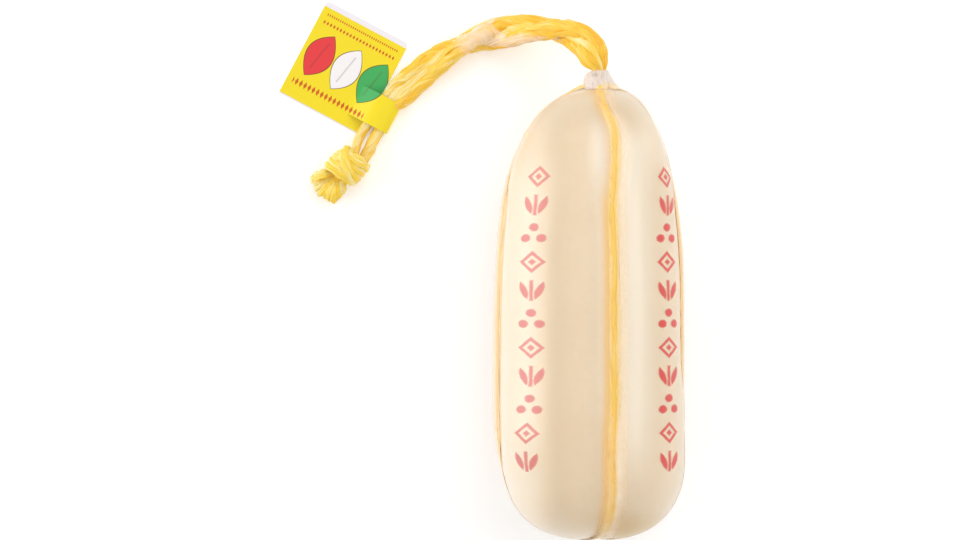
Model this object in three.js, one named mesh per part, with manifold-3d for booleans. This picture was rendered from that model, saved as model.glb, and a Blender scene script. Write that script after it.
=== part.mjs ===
// A young provolone of rounded bar form in its film and twine, lying on a table.
// Millimetres, +Z up. The cheese lies along Y with its gathered neck towards +Y.
// The origin is on the table, under the middle of the cheese.
import * as THREE from 'three';
import * as BufferGeometryUtils from 'three/addons/utils/BufferGeometryUtils.js';
import Module from 'manifold-3d';

const wasm = await Module();
wasm.setup();

const GAP = 0.3;

// The cheese: a blunt foot, a long barrel, and shoulders that close on the neck.
const CHEESE = {
  crestRadius: 45.8,
  axisHeight: 43.6,
  shoulder: { fromY: -40, toY: 103.2, powers: [3.6, 2.4] },
  foot: { fromY: -20, toY: -111.9, powers: [5, 2.5] },
  neckY: 102.4,
  rings: 44,
  sectors: 60,
};

// The axis is not quite straight: both ends lean a little towards +X.
const AXIS = { x: 0, neckLean: 5, neckPower: 6, footLean: 2.4, footFromY: -56, footToY: -90 };

// The twine pulls a soft valley into the cheese along each of its four runs.
const VALLEY = { halfWidth: 15, power: 2.2, belowCord: 2.3 };

// Twine runs are placed by their angle round the axis, from straight up towards +X.
// Each sinks a little below the crests, and the one underneath is pressed in deeper.
const RUNS = {
  front: { azimuth: 14, sink: 1.4 },
  right: { azimuth: 78, sink: 1.4 },
  back: { azimuth: 181.5, sink: 2.5 },
  left: { azimuth: -76, sink: 1.4 },
};
const TWINE = {
  radius: 2.9,
  neckSink: -0.7,
  overFootSink: 0.6,
  underFootSink: 6.8,
  footEase: 34,
  neckEase: 42,
  sides: 8,
  steps: 56,
};

// The film is gathered into a pleated knob over the neck of the cheese.
const NECK = {
  baseRadius: 7.9,
  topRadius: 4.8,
  height: 10.4,
  baseX: 5.3,
  lean: -1.3,
  pleats: 11,
  pleatDepth: 0.35,
  sectors: 44,
};

// The hanging rope: out of the neck, down to the table, and round to the tag.
const ROPE = { radius: 7, sides: 10, steps: 24 };
const ROPE_ROUTE = [
  [4.4, 113.1, 43.2],
  [4.3, 116.6, 43.1],
  [2.2, 121.4, 41.8],
  [-2.2, 125.8, 38.6],
  [-7.9, 129.0, 34.2],
  [-14.4, 131.0, 29.2],
  [-21.6, 132.1, 24.2],
  [-29.2, 132.6, 19.4],
  [-36.9, 132.2, 15.2],
  [-44.6, 131.1, 11.8],
  [-52.3, 129.0, 9.3],
  [-59.6, 126.2, 7.8],
  [-66.8, 122.3, 7.2],
  [-73.6, 117.6, 7.1],
  [-80.3, 112.1, 7.1],
  [-86.6, 106.4, 7.1],
  [-91.2, 102.7, 7.1],
  [-93.6, 99.9, 7.1],
];

// Past the rope's last turn its two legs run side by side to the knot.
const LEG = { radius: 2.6, sides: 8, steps: 12 };
const LEFT_LEG_ROUTE = [
  [-97.6, 102.6, 3.9],
  [-100.4, 96.8, 3.9],
  [-102.8, 92.4, 3.9],
  [-105.9, 88.3, 3.9],
  [-108.8, 84.2, 4.1],
  [-110.8, 80.0, 4.9],
  [-112.2, 75.9, 5.9],
  [-113.4, 72.4, 6.8],
];
const RIGHT_LEG_ROUTE = [
  [-91.8, 100.6, 3.9],
  [-95.3, 94.0, 3.9],
  [-97.8, 89.7, 3.9],
  [-100.3, 85.4, 3.9],
  [-102.5, 81.6, 4.1],
  [-104.5, 77.9, 4.6],
  [-106.2, 74.3, 5.4],
  [-108.4, 69.9, 6.3],
];

// The knot is a fat roll of wraps round the rope, and the cut ends fan out behind it.
const KNOT = {
  centre: [-116.2, 66.8, 8.2],
  turn: 48,
  coreRadii: [6.6, 8.2, 6.2],
  wrapRadius: 5.0,
  wrapTube: 2.9,
  wrapStretch: 1.25,
  wraps: [
    { along: -4.7, tilt: -16 },
    { along: 0, tilt: -8 },
    { along: 4.7, tilt: -13 },
  ],
};
const TUFT = {
  root: [-121.6, 61.9, 6.6],
  heading: 228,
  length: 12.5,
  rootRadius: 2.3,
  endRadius: 2.8,
  strands: [
    { turn: -34, lift: 0, reach: 0.84 },
    { turn: -14, lift: 14, reach: 1.0 },
    { turn: 6, lift: -6, reach: 1.08 },
    { turn: 26, lift: 10, reach: 0.94 },
    { turn: 40, lift: -4, reach: 0.74 },
    { turn: -22, lift: -16, reach: 0.9 },
    { turn: 16, lift: 24, reach: 0.8 },
  ],
};

// The tag: a folded card whose side is slit into a band that loops round the legs.
const TAG = {
  centre: [-118.1, 115.2],
  turn: -28,
  width: 45,
  height: 50,
  thickness: 0.7,
  lift: 0.3,
  marginHeight: 2.7,
  marginThickness: 0.4,
  cornerRadius: 2,
  bandTop: -3.2,
  bandBottom: -19,
};

const SPIN = Math.PI / 180;

// Solid work -------------------------------------------------------------------------

function toSolid(geometry) {
  geometry.deleteAttribute('normal');
  geometry.deleteAttribute('uv');
  const merged = BufferGeometryUtils.mergeVertices(geometry, 1e-4);
  const vertProperties = new Float32Array(merged.attributes.position.array);
  const triVerts = new Uint32Array(merged.index.array);
  return new wasm.Manifold(new wasm.Mesh({ numProp: 3, vertProperties, triVerts }));
}

function toGeometry(solid) {
  const mesh = solid.getMesh();
  const geometry = new THREE.BufferGeometry();
  geometry.setAttribute('position', new THREE.BufferAttribute(mesh.vertProperties, 3));
  geometry.setIndex(new THREE.BufferAttribute(mesh.triVerts, 1));
  return geometry;
}

function joined(geometries) {
  return geometries.map(toSolid).reduce((whole, piece) => whole.add(piece));
}

function tube(points, radius, sides, steps) {
  const corners = [];
  for (let i = 0; i < sides; i += 1) {
    const turn = (2 * Math.PI * i) / sides;
    corners.push(new THREE.Vector2(radius * Math.cos(turn), radius * Math.sin(turn)));
  }
  const route = new THREE.CatmullRomCurve3(points, false, 'centripetal');
  return new THREE.ExtrudeGeometry(new THREE.Shape(corners), { steps, extrudePath: route });
}

function toVectors(rows) {
  return rows.map((row) => new THREE.Vector3(...row));
}

// The cheese -------------------------------------------------------------------------

// Each end narrows along a superellipse: 1 where it begins, 0 at its pole.
function narrowing({ fromY, toY, powers }, y) {
  const part = THREE.MathUtils.clamp((y - fromY) / (toY - fromY), 0, 1);
  return (1 - part ** powers[0]) ** (1 / powers[1]);
}

function crestRadiusAt(y) {
  return CHEESE.crestRadius * narrowing(CHEESE.shoulder, y) * narrowing(CHEESE.foot, y);
}

// Half outline of the crests, from the foot's pole to the rim of the neck.
function crestOutline() {
  const footY = CHEESE.foot.toY;
  const points = [];
  const stations = 60;
  for (let i = 0; i <= stations; i += 1) {
    const part = (1 - Math.cos((Math.PI * i) / stations)) / 2;
    const y = footY + part * (CHEESE.neckY - footY);
    points.push(new THREE.Vector2(crestRadiusAt(y), y));
  }
  return new THREE.SplineCurve(points);
}

const OUTLINE = crestOutline();

function axisXAt(y) {
  const nearNeck = Math.max(0, y / CHEESE.neckY) ** AXIS.neckPower;
  const nearFoot = THREE.MathUtils.smoothstep(-y, -AXIS.footFromY, -AXIS.footToY);
  return AXIS.x + AXIS.neckLean * nearNeck + AXIS.footLean * nearFoot;
}

function placedRoundAxis(radius, y, azimuth) {
  return new THREE.Vector3(
    axisXAt(y) + radius * Math.sin(azimuth),
    y,
    CHEESE.axisHeight + radius * Math.cos(azimuth),
  );
}

// How far a run's outer side lies below the crests, along the barrel.
function sinkAlong(run, y) {
  const towardsNeck = THREE.MathUtils.smoothstep(y, CHEESE.neckY - TWINE.neckEase, CHEESE.neckY);
  return THREE.MathUtils.lerp(run.sink, TWINE.neckSink, towardsNeck);
}

function turnBetween(azimuth, run) {
  const turn = azimuth - run.azimuth * SPIN;
  return Math.abs(Math.atan2(Math.sin(turn), Math.cos(turn)));
}

function valleyDepth(radius, y, azimuth) {
  const depths = Object.values(RUNS).map((run) => {
    const turn = Math.min(turnBetween(azimuth, run), Math.PI / 2);
    const near = Math.max(0, 1 - (radius * Math.sin(turn)) / VALLEY.halfWidth);
    return near ** VALLEY.power * (sinkAlong(run, y) + VALLEY.belowCord);
  });
  return Math.max(...depths);
}

function lobedBody() {
  const outline = OUTLINE.getSpacedPoints(CHEESE.rings);
  outline[0].x = 0;
  outline.push(new THREE.Vector2(0, CHEESE.neckY));
  const body = new THREE.LatheGeometry(outline, CHEESE.sectors);
  const position = body.attributes.position;
  const normal = body.attributes.normal;
  for (let i = 0; i < position.count; i += 1) {
    const radius = Math.hypot(position.getX(i), position.getZ(i));
    const azimuth = Math.atan2(position.getX(i), position.getZ(i));
    const y = position.getY(i);
    const onNeckFace = y > CHEESE.neckY - 0.01;
    const depth = onNeckFace ? 0 : valleyDepth(radius, y, azimuth);
    const outward = Math.hypot(normal.getX(i), normal.getZ(i));
    const sunkRadius = radius < 0.01 ? 0 : radius - depth * outward;
    const place = placedRoundAxis(sunkRadius, y - depth * normal.getY(i), azimuth);
    position.setXYZ(i, place.x, place.y, place.z);
  }
  return body;
}

// A run follows the outline from near the foot's pole to the neck, its centre line
// inside the crests by the twine's radius and its sink, which is `footSink` at the pole.
function twineRun(run, footSink) {
  const points = [];
  const stations = 26;
  for (let i = 1; i <= stations; i += 1) {
    const crest = OUTLINE.getPointAt(i / stations);
    const along = OUTLINE.getTangentAt(i / stations);
    const onFoot = crest.y < CHEESE.foot.fromY;
    const awayFromPole = onFoot ? THREE.MathUtils.smoothstep(crest.x, 0, TWINE.footEase) : 1;
    const sink = THREE.MathUtils.lerp(footSink, sinkAlong(run, crest.y), awayFromPole);
    const inset = TWINE.radius + sink;
    const radius = crest.x - along.y * inset;
    points.push(placedRoundAxis(radius, crest.y + along.x * inset, run.azimuth * SPIN));
  }
  points.at(-1).y = CHEESE.neckY;
  return points;
}

// Two runs and the crossing under the foot are one length of twine.
function twineLoop(firstRun, secondRun, footSink) {
  const footY = CHEESE.foot.toY + TWINE.radius + footSink;
  const crossing = placedRoundAxis(0, footY, 0);
  return [...twineRun(firstRun, footSink).reverse(), crossing, ...twineRun(secondRun, footSink)];
}

function twineSolid(loop, radius) {
  return toSolid(tube(loop, radius, TWINE.sides, TWINE.steps));
}

// Everything beyond the neck face, or below the table, is cut off.
function slab(width, length, height, x, y, z) {
  const box = new THREE.BoxGeometry(width, length, height);
  box.translate(x, y, z);
  return toSolid(box);
}

const BLOCK = 400;
const BEYOND_NECK = slab(BLOCK, BLOCK, BLOCK, 0, CHEESE.neckY - GAP + BLOCK / 2, 0);
const BELOW_TABLE = slab(BLOCK, BLOCK, BLOCK, 0, 0, -BLOCK / 2);

const FRONT_BACK_LOOP = twineLoop(RUNS.front, RUNS.back, TWINE.underFootSink);
const LEFT_RIGHT_LOOP = twineLoop(RUNS.left, RUNS.right, TWINE.overFootSink);

function cheese() {
  return toSolid(lobedBody())
    .subtract(twineSolid(FRONT_BACK_LOOP, TWINE.radius + GAP))
    .subtract(twineSolid(LEFT_RIGHT_LOOP, TWINE.radius + GAP))
    .subtract(BEYOND_NECK)
    .subtract(BELOW_TABLE);
}

// The neck knob ----------------------------------------------------------------------

function neckKnob() {
  const { baseRadius, topRadius, height, baseX, lean, pleats, pleatDepth } = NECK;
  const outline = [
    new THREE.Vector2(0, 0),
    new THREE.Vector2(baseRadius, 0),
    new THREE.Vector2(baseRadius * 0.985, height * 0.28),
    new THREE.Vector2(baseRadius * 0.93, height * 0.52),
    new THREE.Vector2(baseRadius * 0.8, height * 0.76),
    new THREE.Vector2(topRadius * 1.06, height * 0.93),
    new THREE.Vector2(topRadius, height),
    new THREE.Vector2(0, height),
  ];
  const knob = new THREE.LatheGeometry(outline, NECK.sectors);
  const position = knob.attributes.position;
  for (let i = 0; i < position.count; i += 1) {
    const x = position.getX(i);
    const y = position.getY(i);
    const z = position.getZ(i);
    const azimuth = Math.atan2(x, z);
    const radius = Math.hypot(x, z);
    const pleated = radius < 0.01 ? 0 : radius - pleatDepth * (1 - Math.cos(pleats * azimuth)) / 2;
    position.setXYZ(
      i,
      baseX + (lean * y) / height + pleated * Math.sin(azimuth),
      CHEESE.neckY + y,
      CHEESE.axisHeight + pleated * Math.cos(azimuth),
    );
  }
  return toSolid(knob);
}

// The knot and its cut ends ----------------------------------------------------------

// `growth` swells the knot all round, to cut what meets it with a gap.
function knot(growth = 0) {
  const { coreRadii, wrapRadius, wrapTube, wrapStretch, wraps, turn, centre } = KNOT;
  const core = new THREE.SphereGeometry(1, 14, 10);
  core.scale(...coreRadii.map((radius) => radius + growth));
  const pieces = [core];
  for (const { along, tilt } of wraps) {
    const wrap = new THREE.TorusGeometry(wrapRadius, wrapTube + growth, 8, 16);
    wrap.rotateY(Math.PI / 2);
    wrap.scale(1, wrapStretch, 1);
    wrap.rotateZ(tilt * SPIN);
    wrap.translate(along, 0, 0);
    pieces.push(wrap);
  }
  for (const piece of pieces) {
    piece.rotateZ(turn * SPIN);
    piece.translate(...centre);
  }
  return joined(pieces);
}

// `growth` swells the rope and lengthens its end, to cut the legs with a gap.
function rope(growth = 0) {
  const route = toVectors(ROPE_ROUTE);
  const [last, before] = [route.at(-1), route.at(-2)];
  const onwards = last.clone().sub(before).normalize();
  last.addScaledVector(onwards, growth);
  return toSolid(tube(route, ROPE.radius + growth, ROPE.sides, ROPE.steps));
}

function leg(route) {
  const run = toSolid(tube(toVectors(route), LEG.radius, LEG.sides, LEG.steps));
  return run.subtract(rope(GAP)).subtract(knot(GAP));
}

function tuft() {
  const pieces = TUFT.strands.map(({ turn, lift, reach }) => {
    const length = TUFT.length * reach;
    const strand = new THREE.CylinderGeometry(TUFT.endRadius, TUFT.rootRadius, length, 8);
    strand.rotateZ(-Math.PI / 2);
    strand.translate(length / 2, 0, 0);
    strand.rotateY(-lift * SPIN);
    strand.rotateZ((TUFT.heading + turn) * SPIN);
    strand.translate(...TUFT.root);
    return strand;
  });
  return joined(pieces);
}

// The tag ----------------------------------------------------------------------------

// A flat sheet with its far corners rounded, from y `near` to y `far`.
function sheet(width, near, far, cornerRadius, thickness, z) {
  const half = width / 2;
  const outline = new THREE.Shape();
  outline.moveTo(-half, near);
  outline.lineTo(half, near);
  outline.lineTo(half, far - cornerRadius);
  outline.absarc(half - cornerRadius, far - cornerRadius, cornerRadius, 0, Math.PI / 2);
  outline.absarc(-half + cornerRadius, far - cornerRadius, cornerRadius, Math.PI / 2, Math.PI);
  const card = new THREE.ExtrudeGeometry(outline, {
    depth: thickness,
    bevelEnabled: false,
    curveSegments: 4,
  });
  card.translate(0, 0, z);
  return card;
}

// Section of the band, across the tag and up: it leaves the front leaf, arches over
// the legs, folds round beyond the tag's side and comes back under them.
function band() {
  const outer = [
    [9, 0], [31.4, 0], [33, 0.9], [33.9, 2.8], [33.7, 5], [32.4, 6.7],
    [30, 7.5], [26, 7.7], [22, 7.1], [18.6, 5.2], [15.6, 2.9], [12.6, 1.4], [9, 0.7],
  ];
  const inner = [
    [16.4, 0.65], [31.1, 0.65], [32.5, 1.4], [33.2, 2.9], [33.1, 4.8], [32, 6.2],
    [29.8, 6.9], [26, 7.05], [22.3, 6.5], [19, 4.7], [16.6, 2.6],
  ];
  const section = new THREE.Shape(outer.map((point) => new THREE.Vector2(...point)));
  section.holes.push(new THREE.Path(inner.map((point) => new THREE.Vector2(...point))));
  const loop = new THREE.ExtrudeGeometry(section, {
    depth: TAG.bandTop - TAG.bandBottom,
    bevelEnabled: false,
  });
  loop.rotateX(Math.PI / 2);
  loop.translate(0, TAG.bandTop, 0);
  return loop;
}

function tag() {
  const half = TAG.height / 2;
  const front = sheet(TAG.width, -half, half - TAG.marginHeight, 0.01, TAG.thickness, 0);
  const back = sheet(TAG.width, -half, half, TAG.cornerRadius, TAG.marginThickness, 0);
  return joined([front, back, band()]);
}

// The whole --------------------------------------------------------------------------

const curd = new THREE.MeshStandardMaterial({ color: 0xefdcb8, roughness: 0.35 });
const raffia = new THREE.MeshStandardMaterial({ color: 0xf6c944, roughness: 0.45 });
const film = new THREE.MeshStandardMaterial({ color: 0xe2dcd4, roughness: 0.25 });
const card = new THREE.MeshStandardMaterial({ color: 0xf5e431, roughness: 0.4 });

const group = new THREE.Group();

function place(name, solid, material) {
  const mesh = new THREE.Mesh(toGeometry(solid), material.clone());
  mesh.name = name;
  group.add(mesh);
  return mesh;
}

place('cheese', cheese(), curd);
place('twine_front_back', twineSolid(FRONT_BACK_LOOP, TWINE.radius).subtract(BEYOND_NECK), raffia);
place('twine_left_right', twineSolid(LEFT_RIGHT_LOOP, TWINE.radius).subtract(BEYOND_NECK), raffia);
place('film_neck', neckKnob(), film);
place('hanging_rope', rope(), raffia);
place('left_leg', leg(LEFT_LEG_ROUTE), raffia);
place('right_leg', leg(RIGHT_LEG_ROUTE), raffia);
place('knot', knot(), raffia);
place('tuft', tuft().subtract(knot(GAP)), raffia);

const tagMesh = place('tag', tag(), card);
tagMesh.rotation.z = TAG.turn * SPIN;
tagMesh.position.set(...TAG.centre, TAG.lift);

export default group;
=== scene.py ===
"""A young provolone in clear film, bound with raffia twine, on a pale table."""
import math

import bpy
import numpy as np
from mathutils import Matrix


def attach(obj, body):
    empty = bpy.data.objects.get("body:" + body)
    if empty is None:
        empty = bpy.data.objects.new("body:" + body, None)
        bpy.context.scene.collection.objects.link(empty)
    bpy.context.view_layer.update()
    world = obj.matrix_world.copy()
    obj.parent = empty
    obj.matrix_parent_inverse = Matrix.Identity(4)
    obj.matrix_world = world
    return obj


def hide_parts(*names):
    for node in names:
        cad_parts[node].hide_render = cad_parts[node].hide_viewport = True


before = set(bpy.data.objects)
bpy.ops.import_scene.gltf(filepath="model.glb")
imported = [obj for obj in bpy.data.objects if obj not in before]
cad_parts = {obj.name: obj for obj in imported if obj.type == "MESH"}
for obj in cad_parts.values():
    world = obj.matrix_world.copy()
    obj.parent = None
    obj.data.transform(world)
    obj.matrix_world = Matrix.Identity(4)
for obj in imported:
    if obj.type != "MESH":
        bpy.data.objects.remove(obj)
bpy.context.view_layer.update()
bpy.ops.object.select_all(action="DESELECT")

# ---- Camera --------------------------------------------------------------------------
# It looks straight down on the cheese lying on its table, from a little over a metre and
# a half, slightly left of the cheese so that the rope and the tag are in view too.

bpy.ops.object.camera_add(location=(-0.0518, 0.0164, 1.542), rotation=(0, 0, 0))
camera = bpy.context.object
camera.data.sensor_width = 36
camera.data.lens = 118.4
camera.data.clip_end = 20
bpy.context.scene.camera = camera

# ---- Hanging rope --------------------------------------------------------------------
# Two legs of split raffia ribbon, loosely twisted together. They come out of the neck,
# come down to the table and pass the tag's band side by side, to end in one knot.
# Places and sizes are in millimetres until a mesh is made.

MILLIMETRE = 0.001
UP = np.array([0.0, 0.0, 1.0])

ROPE_ROUTE = [
    (5.9, 107.6, 43.4), (5.1, 111.6, 43.3), (3.2, 116.2, 43.0), (0.8, 121.2, 41.8),
    (-3.2, 125.5, 38.6), (-8.5, 128.7, 34.2), (-14.6, 130.9, 29.2), (-21.6, 132.1, 24.2),
    (-29.2, 132.6, 19.4), (-36.9, 132.2, 15.2), (-44.6, 131.1, 11.8), (-52.3, 129.0, 9.3),
    (-59.6, 126.2, 7.8), (-66.8, 122.3, 7.2), (-73.6, 117.6, 7.1), (-80.3, 112.1, 7.1),
    (-86.6, 106.4, 7.1), (-91.2, 102.7, 7.0), (-93.6, 99.9, 6.6),
]
LEFT_LEG_ROUTE = [
    (-100.0, 97.6, 4.1), (-102.8, 92.4, 3.9), (-105.9, 88.3, 3.9),
    (-108.8, 84.2, 4.1), (-110.8, 80.0, 4.9), (-112.2, 75.9, 5.9), (-113.6, 71.6, 6.8),
    (-115.0, 68.6, 7.4),
]
RIGHT_LEG_ROUTE = [
    (-94.9, 94.7, 4.1), (-97.8, 89.7, 3.9), (-100.3, 85.4, 3.9),
    (-102.5, 81.6, 4.1), (-104.5, 77.9, 4.6), (-106.2, 74.3, 5.4), (-108.6, 70.2, 6.3),
    (-112.4, 67.4, 7.0),
]


def smooth_line(knots, count):
    """Evenly spaced points on a smooth curve through the knots."""
    knots = np.array(knots, float)
    ends = 2 * knots[0] - knots[1], 2 * knots[-1] - knots[-2]
    padded = np.vstack([ends[0], knots, ends[1]])
    fine = []
    for a, b, c, d in zip(padded, padded[1:], padded[2:], padded[3:]):
        for t in np.linspace(0, 1, 24, endpoint=False):
            cubic = 2 * b + (c - a) * t + (2 * a - 5 * b + 4 * c - d) * t**2
            fine.append((cubic + (3 * b - a - 3 * c + d) * t**3) / 2)
    fine = np.array(fine + [knots[-1]])
    reach = distance_along(fine)
    even = np.linspace(0, reach[-1], count)
    return np.column_stack([np.interp(even, reach, fine[:, axis]) for axis in range(3)])


def distance_along(line):
    return np.append(0, np.cumsum(np.linalg.norm(np.diff(line, axis=0), axis=1)))


def unit(rows):
    return rows / np.linalg.norm(rows, axis=-1, keepdims=True)


def square_to(line, outward):
    """The sideways and outward directions, square to the line at each of its points."""
    along = unit(np.gradient(line, axis=0))
    side = unit(np.cross(along, outward))
    return side, np.cross(side, along)


def course(line, outward=UP):
    """How far along the line each point is, and its sideways and outward directions."""
    return distance_along(line), *square_to(line, outward)


def ease(low, high, value):
    """0 at low, 1 at high, smooth between."""
    part = np.clip((value - low) / (high - low), 0, 1)
    return part * part * (3 - 2 * part)


class Raffia:
    """Folded ribbons that lie together, gathered as one mesh with its grain along them."""

    FACETS = 14

    def __init__(self, seed):
        self.random = np.random.default_rng(seed)
        self.places, self.faces, self.grain, self.tones = [], [], [], []

    def sway(self, reach, wavelength):
        """A slow random wander between about -1 and 1 along the ribbon."""
        total = 0
        for share in (1.0, 0.63, 0.41):
            start = self.random.uniform(0, 2 * math.pi)
            total = total + np.sin(2 * math.pi * reach / (wavelength * share) + start)
        return total / 2

    def ribbon(self, line, side, up, half_width, half_depth, turn=0.0, tone=0.5, folds=3):
        """One ribbon along the line: wide, thin and creased, with closed ends."""
        count = len(line)
        reach = distance_along(line)
        around = np.linspace(0, 2 * math.pi, self.FACETS, endpoint=False)[None, :]
        drift = 1.6 * self.sway(reach, 34)[:, None] + self.random.uniform(0, 6)
        crease = 1 + 0.2 * np.cos(folds * around + drift) + 0.12 * np.cos(5 * around - drift)
        ends = np.ones(count)
        ends[[0, -1]], ends[[1, -2]] = 0.45, 0.85
        wide = (np.broadcast_to(half_width, count) * ends)[:, None] * np.cos(around)
        deep = (np.broadcast_to(half_depth, count) * ends)[:, None] * np.sin(around) * crease
        turn = np.broadcast_to(turn, count)[:, None]
        across = wide * np.cos(turn) - deep * np.sin(turn)
        above = wide * np.sin(turn) + deep * np.cos(turn)
        rings = line[:, None] + across[..., None] * side[:, None] + above[..., None] * up[:, None]
        self.add_rings(rings, reach, tone)

    def add_rings(self, rings, reach, tone):
        first = sum(len(rows) for rows in self.places)
        count, facets = rings.shape[:2]
        rings[..., 2] = np.maximum(rings[..., 2], 0.1)
        self.places.append(rings.reshape(-1, 3))
        self.tones += np.repeat(np.broadcast_to(tone, count), facets).tolist()
        corner = np.arange(count * facets).reshape(count, facets) + first
        for i in range(count - 1):
            for j in range(facets):
                k = (j + 1) % facets
                self.faces.append((corner[i, j], corner[i + 1, j], corner[i + 1, k], corner[i, k]))
                self.grain += [(j / facets, reach[i]), (j / facets, reach[i + 1]),
                               ((j + 1) / facets, reach[i + 1]), ((j + 1) / facets, reach[i])]
        for ring, place in ((corner[0], reach[0]), (corner[-1][::-1], reach[-1])):
            self.faces.append(tuple(ring))
            self.grain += [(j / facets, place) for j in range(facets)]

    def make(self, name):
        mesh = bpy.data.meshes.new(name)
        places = np.vstack(self.places) * MILLIMETRE
        mesh.from_pydata(places.tolist(), [], [[int(v) for v in face] for face in self.faces])
        grain = mesh.uv_layers.new(name="grain")
        grain.data.foreach_set("uv", np.array(self.grain, float).ravel())
        tones = mesh.attributes.new("tone", "FLOAT", "POINT")
        tones.data.foreach_set("value", np.array(self.tones, float))
        return place_mesh(name, mesh)


def choose_only(piece):
    """Makes the piece the active object, and the only one that is selected."""
    bpy.ops.object.select_all(action="DESELECT")
    piece.select_set(True)
    bpy.context.view_layer.objects.active = piece


def smooth_outwards():
    """Turns the active piece's faces outwards and shades them smooth."""
    bpy.ops.object.mode_set(mode="EDIT")
    bpy.ops.mesh.select_all(action="SELECT")
    bpy.ops.mesh.normals_make_consistent(inside=False)
    bpy.ops.object.mode_set(mode="OBJECT")
    bpy.ops.object.shade_smooth()


def place_mesh(name, mesh):
    """Puts a new mesh in the scene, smooth, with its faces turned outwards."""
    piece = bpy.data.objects.new(name, mesh)
    bpy.context.collection.objects.link(piece)
    choose_only(piece)
    smooth_outwards()
    piece.select_set(False)
    return piece


class Signal:
    """A shader socket that plain expressions can add, multiply and compare."""

    def __init__(self, finish, socket):
        self.finish = finish
        self.socket = socket

    def maths(self, operation, *others):
        values = {index + 1: other for index, other in enumerate(others)}
        return self.finish.node("Math", {"operation": operation}, {0: self, **values})

    def __add__(self, other):
        return self.maths("ADD", other)

    def __mul__(self, other):
        return self.maths("MULTIPLY", other)

    def __sub__(self, other):
        return self.maths("SUBTRACT", other)

    def __rsub__(self, other):
        return self * -1 + other

    def __truediv__(self, other):
        return self.maths("DIVIDE", other)

    def __pow__(self, other):
        return self.maths("POWER", other)

    def __abs__(self):
        return self.maths("ABSOLUTE")

    def larger(self, other):
        return self.maths("MAXIMUM", other)

    def smaller(self, other):
        return self.maths("MINIMUM", other)

    def between(self, low, high):
        """0 at low, 1 at high, smooth between; low may be the larger."""
        settings = {"interpolation_type": "SMOOTHSTEP"}
        return self.finish.node("MapRange", settings, {0: self, 1: low, 2: high})

    __radd__ = __add__
    __rmul__ = __mul__


class Finish:
    """One material, and the one way its nodes are added."""

    def __init__(self, name, **constants):
        self.material = bpy.data.materials.new(name)
        self.material.use_nodes = True
        self.tree = self.material.node_tree
        self.surface = self.tree.nodes["Principled BSDF"]
        for socket, value in constants.items():
            self.surface.inputs[socket.replace("_", " ")].default_value = value

    def node(self, kind, settings=None, values=None, output=0):
        """Adds a node: first its settings, then values or links for its sockets."""
        node = self.tree.nodes.new("ShaderNode" + kind)
        for name, setting in (settings or {}).items():
            if name == "stops":
                self.set_stops(node.color_ramp, setting)
            else:
                setattr(node, name, setting)
        for socket, value in (values or {}).items():
            if isinstance(value, Signal):
                self.tree.links.new(value.socket, node.inputs[socket])
            else:
                node.inputs[socket].default_value = value
        return Signal(self, node.outputs[output])

    @staticmethod
    def set_stops(ramp, stops):
        while len(ramp.elements) < len(stops):
            ramp.elements.new(1.0)
        for element, (position, colour) in zip(ramp.elements, stops):
            element.position = position
            element.color = colour

    def mix(self, share, first, second):
        """The first colour where share is 0, the second where it is 1."""
        return self.node("Mix", {"data_type": "RGBA"}, {0: share, 6: first, 7: second}, output=2)

    def lay_over(self, colour, *layers):
        """Each layer is a share and the colour that it brings, laid over those before."""
        for share, paint in layers:
            colour = self.mix(share, colour, paint)
        return colour

    def noise(self, vector, scale, detail=3.0):
        return self.node("TexNoise", None, {"Vector": vector, "Scale": scale, "Detail": detail})

    def attribute(self, name):
        return self.node("Attribute", {"attribute_name": name}, output=2)

    def object_place(self):
        return self.node("TexCoord", output=3)

    def join(self, x, y, z=0.0):
        return self.node("CombineXYZ", None, {0: x, 1: y, 2: z})

    def split(self, vector):
        parts = self.node("SeparateXYZ", None, {0: vector})
        return [Signal(self, parts.socket.node.outputs[axis]) for axis in range(3)]

    def shows(self, **signals):
        for socket, value in signals.items():
            self.tree.links.new(value.socket, self.surface.inputs[socket.replace("_", " ")])

    def bump(self, height, strength, depth):
        """Relief of that depth in metres."""
        values = {"Height": height, "Strength": strength, "Distance": depth}
        self.shows(Normal=self.node("Bump", None, values))


def tint(red, green, blue):
    """A colour as it looks on screen, from 0 to 255, for a shader socket."""
    return tuple((value / 255) ** 2.2 for value in (red, green, blue)) + (1.0,)


def raffia_finish(name, deep, plain, bright, pale):
    """Split plastic raffia: satin, slightly see-through, with long streaks of its own tone."""
    finish = Finish(name, Coat_Weight=0.1, Coat_Roughness=0.3, Subsurface_Weight=0.35,
                    Subsurface_Radius=(0.002, 0.002, 0.002))
    across, along, _ = finish.split(finish.node("UVMap", {"uv_map": "grain"}))
    tone = finish.attribute("tone")
    shift = tone * 37.0
    broad = finish.noise(finish.join(across * 5.0, along * 0.055, shift), 1.0)
    fine = finish.noise(finish.join(across * 20.0, along * 0.1, shift + 9.0), 1.0)
    level = broad * 0.8 + fine * 1.0 + (tone - 0.5) * 0.62 - 0.4
    stops = [(0.22, deep), (0.44, plain), (0.64, bright), (0.88, pale)]
    colour = finish.node("ValToRGB", {"stops": stops}, {0: level})
    finish.shows(Base_Color=colour, Roughness=fine * 0.25 + 0.28)
    finish.bump(broad * 0.4 + fine * 0.6, 0.6, 0.0008)
    return finish.material


RAFFIA = raffia_finish("split_raffia", tint(253, 188, 40), tint(254, 201, 54),
                       tint(255, 211, 84), tint(255, 232, 164))

ROPE_TURN = 97.0
SIDE_BY_SIDE_AT = 112.0
STRAND_OFFSET = 3.8
RIBBON_OFFSET = 2.3

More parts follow.
